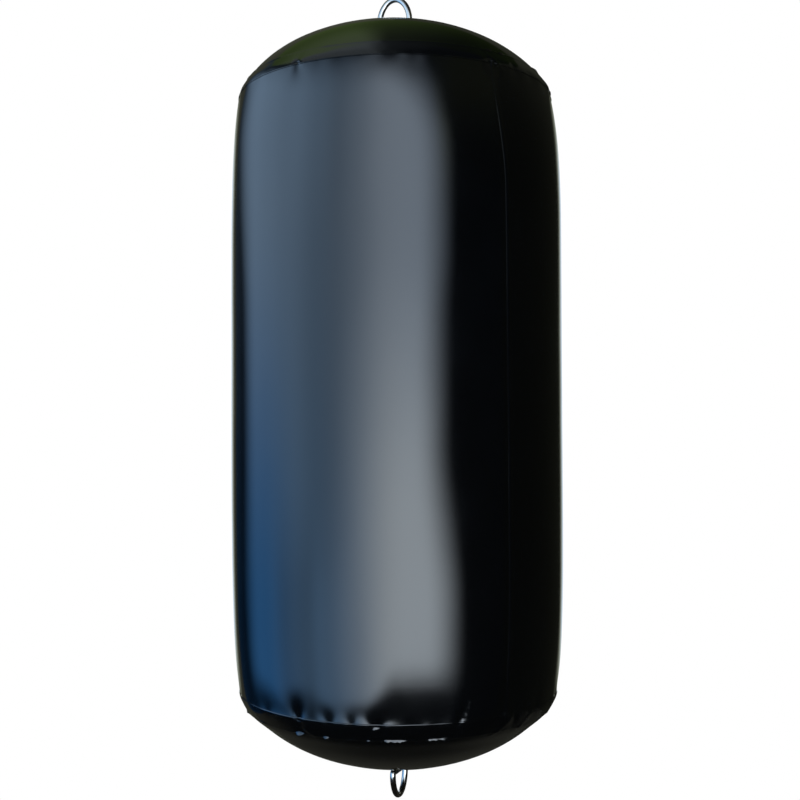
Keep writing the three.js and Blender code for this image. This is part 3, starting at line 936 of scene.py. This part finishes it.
def cover_patch():
    """Welded over the tails, with a slot for the loop and a pressed border."""
    profile = [(6.5, 3.6), (9, 4.3), (14, 4.45), (20, 4.4), (28, 4.35), (36, 4.2), (41, 3.9),
               (45, 3.3), (48, 2.75), (49.5, 2.55), (50.2, 2.75), (51.6, 2.75), (52.3, 2.55),
               (53.6, 2.55), (54.5, 2.35), (55, 1.9), (55.1, 0.9)]
    mesh = spun([(r * MM, dome_height(r * MM, h * MM)) for r, h in profile], PATCH_STEPS)
    for vert in mesh.verts:
        x, y, z = vert.co
        radius = math.hypot(x, y)
        if radius < SLOT_BORDER:
            pull = max(0, 1 - (radius - SLOT_RADIUS) / (SLOT_BORDER - SLOT_RADIUS))
            stretch = 1 + pull * (SLOT_REACH / SLOT_RADIUS - 1) * abs(x / radius) ** 1.5
            vert.co.x = x * stretch
            vert.co.z = dome_height(math.hypot(vert.co.x, y), z - dome_height(radius))
    return mesh


VALVE_SEAT = TOP.past_rim(VALVE_FROM_AXIS, dome_height(VALVE_FROM_AXIS))
VALVE_NORMAL = TOP.normal(VALVE_SEAT)
VALVE_PLACE = Matrix.Translation(
    (0, VALVE_FROM_AXIS, dome_height(VALVE_FROM_AXIS))
) @ Matrix.Rotation(-math.atan2(VALVE_NORMAL.x, VALVE_NORMAL.y), 4, "X")


def on_valve(mesh):
    """Moves a piece from the origin to the valve's place on the dome."""
    bmesh.ops.transform(mesh, matrix=VALVE_PLACE, verts=mesh.verts)
    return mesh


def millimetres(profile):
    """A profile given in millimetres, in metres."""
    return [(r * MM, z * MM) for r, z in profile]


def valve_patch():
    """A round patch that follows the dome round the valve."""
    profile = [(0, 1.3), (16, 1.3), (30, 1.3), (40, 1.3), (43.6, 1.3), (45.2, 1.1), (46, 0.6),
               (46.1, -0.4)]
    mesh = spun(millimetres(profile), PATCH_STEPS)
    for vert in mesh.verts:
        flat = VALVE_PLACE @ Vector((vert.co.x, vert.co.y, 0))
        lift = vert.co.z
        radius = math.hypot(flat.x, flat.y)
        outward = TOP.normal(TOP.past_rim(radius, dome_height(radius)))
        vert.co.x = flat.x + flat.x / radius * outward.x * lift
        vert.co.y = flat.y + flat.y / radius * outward.x * lift
        vert.co.z = dome_height(radius) + outward.y * lift
    return mesh


def valve_body():
    """The flange, and the neck inside it that takes the plug."""
    profile = [(0, -9.8), (9.3, -9.8), (9.5, -9.4), (9.5, 3.6), (10.1, 4.4), (11, 5), (17.5, 5),
               (18.2, 4.7), (18.6, 4.2), (23.5, 3.6), (25.2, 3.0), (26, 2.0), (26, -2.2)]
    return on_valve(spun(millimetres(profile), VALVE_STEPS))


def valve_plug():
    """A screw plug with a fluted head and a coin slot across it."""
    profile = [(12.4, 9.55), (13.4, 9.35), (14.3, 8.8), (14.8, 8.1), (15, 7.4), (15, 6.9),
               (14.6, 6.5), (9.1, 6.5), (9.1, -9.2), (8.6, -9.7), (0, -9.7)]
    mesh = spun(millimetres(profile), PATCH_STEPS)
    rim = [edge for edge in mesh.edges if edge.is_boundary]
    grown, edges = far_side(bmesh.ops.extrude_edge_only(mesh, edges=rim)["geom"])
    for vert in grown:
        turn = math.atan2(vert.co.y, vert.co.x)
        vert.co.x = math.copysign(abs(math.cos(turn)) ** 0.25 * 10 * MM, math.cos(turn))
        vert.co.y = math.copysign(abs(math.sin(turn)) ** 0.25 * 1.2 * MM, math.sin(turn))
    grown, edges = far_side(bmesh.ops.extrude_edge_only(mesh, edges=edges)["geom"])
    bmesh.ops.translate(mesh, verts=grown, vec=(0, 0, -1.8 * MM))
    bmesh.ops.holes_fill(mesh, edges=edges)
    bmesh.ops.recalc_face_normals(mesh, faces=mesh.faces)
    for vert in mesh.verts:
        radius = math.hypot(vert.co.x, vert.co.y)
        if radius > 13 * MM and vert.co.z > 6.6 * MM:
            flute = max(0, math.cos(12 * math.atan2(vert.co.y, vert.co.x))) ** 2 * 0.9 * MM
            vert.co.x *= 1 - flute / radius
            vert.co.y *= 1 - flute / radius
    return on_valve(mesh)


def plug_seal():
    """The flat ring under the plug's head."""
    section = [(9.6, 5.3), (12.2, 5.3), (12.5, 5.6), (12.5, 6.2), (12.2, 6.5), (9.6, 6.5)]
    return on_valve(spun(millimetres(section), VALVE_STEPS, closed=True))


# Assembly

add_camera()
build_studio()

skin = coated_fabric("coated_fabric", (0.0008, 0.0010, 0.0013), 0.14)
tape_skin = coated_fabric("welded_tape", (0.0010, 0.0012, 0.0015), 0.17)
patch_skin = coated_fabric("patch_fabric", (0.0030, 0.0032, 0.0036), 0.33)
webbing = webbing_finish()
steel = polished_steel()
nylon = moulded_nylon()
rubber = black_rubber()

piece("bag_skin", bag(), skin, "fender", ["inflated_body"])
piece("side_lap", lap(), skin, "fender", ["inflated_body"])
for end, name in ((TOP, "top"), (BOTTOM, "bottom")):
    # The top tape's edge on the wall stays sharp, because the sky would glint in a rounded one
    edge = 35 if end is TOP else None
    piece(f"{name}_tape", seam_tape(end), tape_skin, "fender", [f"{name}_seam_tape"], edge)
    fittings = (
        ("base_patch", base_patch, patch_skin, "patch", "fender"),
        ("cover_patch", cover_patch, patch_skin, "patch", "fender"),
        ("webbing_loop", webbing_loop, webbing, "webbing", "fender"),
        ("ring", steel_ring, steel, "ring_steel", f"{name}_ring"),
    )
    for part, make, material, slot, body in fittings:
        node = f"{name}_{part}"
        piece(f"{node}_finished", place_end(make(), end), material, body, [node])
piece("valve_patch_finished", valve_patch(), patch_skin, "fender", ["valve_patch"])
piece("valve_flange", valve_body(), nylon, "fender", ["valve_body"], 40)
piece("screw_plug", valve_plug(), nylon, "valve_plug", ["valve_plug"], 40)
piece("plug_seal", plug_seal(), rubber, "valve_plug", ["valve_plug_seal"], 40)
for node, material in (("valve_nut", nylon), ("valve_gasket", rubber)):
    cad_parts[node].data.materials.clear()
    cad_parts[node].data.materials.append(material)
